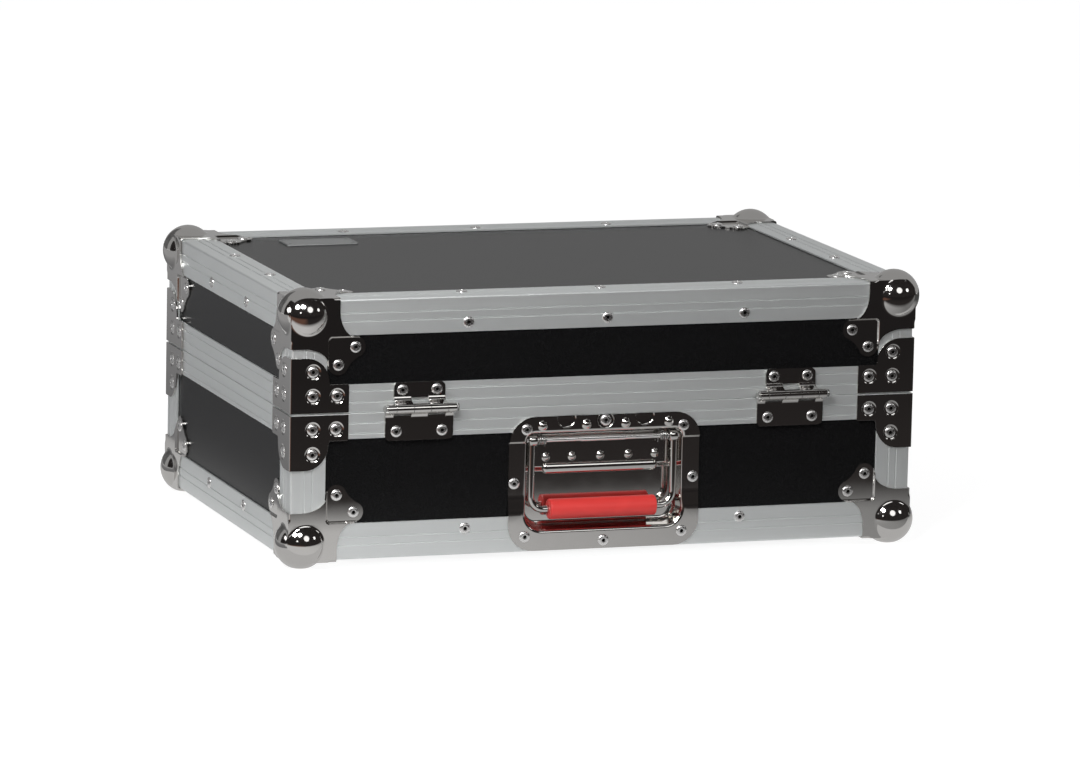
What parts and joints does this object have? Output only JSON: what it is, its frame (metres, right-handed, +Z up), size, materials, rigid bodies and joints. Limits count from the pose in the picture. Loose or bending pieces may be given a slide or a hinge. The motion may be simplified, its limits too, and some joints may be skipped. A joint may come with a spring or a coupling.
{
  "type": "flight case",
  "caption": "Hinged-lid flight case for a 19-inch dj mixer: plywood box with aluminium edges, ball corners, recessed sprung handle and recessed twist latches.",
  "frame": {"origin": "centre of the bounding box in plan, on the ground under the ball corners", "axes": "+X along the hinge side, to the right as seen from it; +Y from the hinge side to the latch side; +Z up"},
  "size_m": [0.557, 0.3926, 0.2325],
  "materials": {
    "laminate": "black laminate on plywood, satin, with a fine orange-peel grain",
    "foam": "charcoal cellular foam, matt",
    "aluminium": "satin mill finish, drawn lengthwise",
    "chrome": "bright chrome on pressed steel",
    "steel": "zinc plated",
    "rubber": "red moulded grip, satin"
  },
  "bodies": {
    "base": {"base_floor_panel": "laminate", "base_wall_ring": "laminate", "base_foam_liner": "foam", "base_edge_front": "aluminium", "base_edge_back": "aluminium", "base_side_frame_left": "aluminium", "base_side_frame_right": "aluminium", "base_rim_back": "aluminium", "base_rim_front": "aluminium", "base_rim_left": "aluminium", "base_rim_right": "aluminium", "base_ball_corner_back_left": "chrome", "base_ball_corner_back_right": "chrome", "base_ball_corner_front_left": "chrome", "base_ball_corner_front_right": "chrome", "base_brace_back_left": "chrome", "base_brace_back_right": "chrome", "base_brace_front_left": "chrome", "base_brace_front_right": "chrome", "hinge_left_base_leaf": "chrome", "hinge_left_pin": "steel", "hinge_right_base_leaf": "chrome", "hinge_right_pin": "steel", "handle_dish": "chrome", "handle_pivot_rod": "chrome", "handle_spring_left": "steel", "handle_spring_right": "steel", "latch_left_dish": "chrome", "latch_right_dish": "chrome"},
    "lid": {"lid_top_panel": "laminate", "lid_wall_ring": "laminate", "lid_foam_liner": "foam", "lid_edge_front": "aluminium", "lid_edge_back": "aluminium", "lid_side_frame_left": "aluminium", "lid_side_frame_right": "aluminium", "lid_rim_back": "aluminium", "lid_rim_front": "aluminium", "lid_rim_left": "aluminium", "lid_rim_right": "aluminium", "lid_ball_corner_back_left": "chrome", "lid_ball_corner_back_right": "chrome", "lid_ball_corner_front_left": "chrome", "lid_ball_corner_front_right": "chrome", "lid_brace_back_left": "chrome", "lid_brace_back_right": "chrome", "lid_brace_front_left": "chrome", "lid_brace_front_right": "chrome", "hinge_left_lid_leaf": "chrome", "hinge_right_lid_leaf": "chrome", "latch_left_keeper": "chrome", "latch_right_keeper": "chrome"},
    "handle": {"handle_bail": "chrome", "handle_grip": "rubber"},
    "latch_left_spindle": {"latch_left_spindle": "steel"},
    "latch_left_wing": {"latch_left_wing": "chrome"},
    "latch_left_hook": {"latch_left_hook": "steel"},
    "latch_right_spindle": {"latch_right_spindle": "steel"},
    "latch_right_wing": {"latch_right_wing": "chrome"},
    "latch_right_hook": {"latch_right_hook": "steel"}
  },
  "joints": [
    {"name": "lid_hinge", "type": "hinge", "parent": "base", "child": "lid", "pos_m": [0, -0.19225, 0.1335], "axis": [1, 0, 0], "range_deg": [0, 100]},
    {"name": "handle_fold", "type": "hinge", "parent": "base", "child": "handle", "pos_m": [0, -0.17925, 0.1007], "axis": [-1, 0, 0], "range_deg": [0, 90], "stiffness_Nm_per_rad": 0.15, "springref_deg": -20.05},
    {"name": "latch_left_turn", "type": "hinge", "parent": "base", "child": "latch_left_spindle", "pos_m": [-0.14, 0.18775, 0.103], "axis": [0, 1, 0], "range_deg": [0, 180]},
    {"name": "latch_left_wing_fold", "type": "hinge", "parent": "latch_left_spindle", "child": "latch_left_wing", "pos_m": [-0.14, 0.18715, 0.103], "axis": [1, 0, 0], "range_deg": [0, 90], "stiffness_Nm_per_rad": 0.005, "springref_deg": -17.19},
    {"name": "latch_left_hook_slide", "type": "slide", "parent": "base", "child": "latch_left_hook", "axis": [0, -0.4327, -0.9015], "range_m": [0, 0.00555]},
    {"name": "latch_right_turn", "type": "hinge", "parent": "base", "child": "latch_right_spindle", "pos_m": [0.14, 0.18775, 0.103], "axis": [0, 1, 0], "range_deg": [0, 180]},
    {"name": "latch_right_wing_fold", "type": "hinge", "parent": "latch_right_spindle", "child": "latch_right_wing", "pos_m": [0.14, 0.18715, 0.103], "axis": [1, 0, 0], "range_deg": [0, 90], "stiffness_Nm_per_rad": 0.005, "springref_deg": -17.19},
    {"name": "latch_right_hook_slide", "type": "slide", "parent": "base", "child": "latch_right_hook", "axis": [0, -0.4327, -0.9015], "range_m": [0, 0.00555]}
  ],
  "couplings": [
    {"joint": "latch_left_hook_slide", "follows": "latch_left_turn", "m_per_rad": 0.0017654},
    {"joint": "latch_right_hook_slide", "follows": "latch_right_turn", "m_per_rad": 0.0017654}
  ]
}
